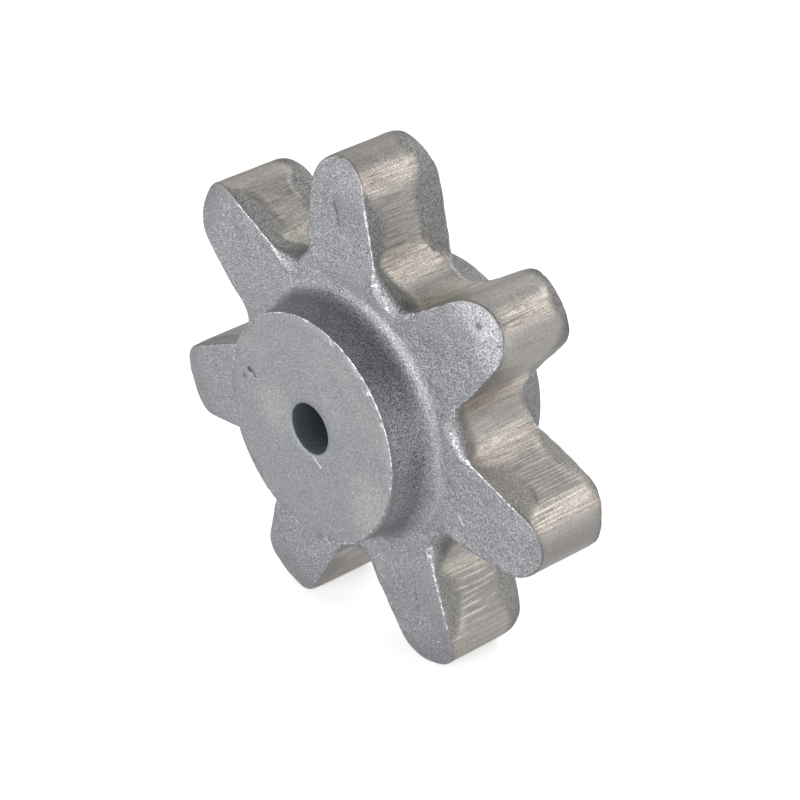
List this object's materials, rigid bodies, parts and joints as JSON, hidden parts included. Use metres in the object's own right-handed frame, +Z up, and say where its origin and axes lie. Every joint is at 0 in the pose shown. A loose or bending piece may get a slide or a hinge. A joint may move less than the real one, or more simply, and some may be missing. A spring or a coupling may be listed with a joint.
{
  "type": "chain sprocket",
  "caption": "Cast chain sprocket with thick round-tipped teeth, equal cylindrical hubs on both sides and a plain pilot bore.",
  "frame": {"origin": "centre of the bore, halfway along its length", "axes": "+Y along the bore, +Z up through the middle of one tooth, +X to the side; the two hubs are alike"},
  "size_m": [0.1294, 0.0474, 0.1266],
  "materials": {
    "cast_iron": "shot-blasted casting with machined tooth flanks"
  },
  "bodies": {
    "root": {"sprocket": "cast_iron"}
  },
  "joints": []
}
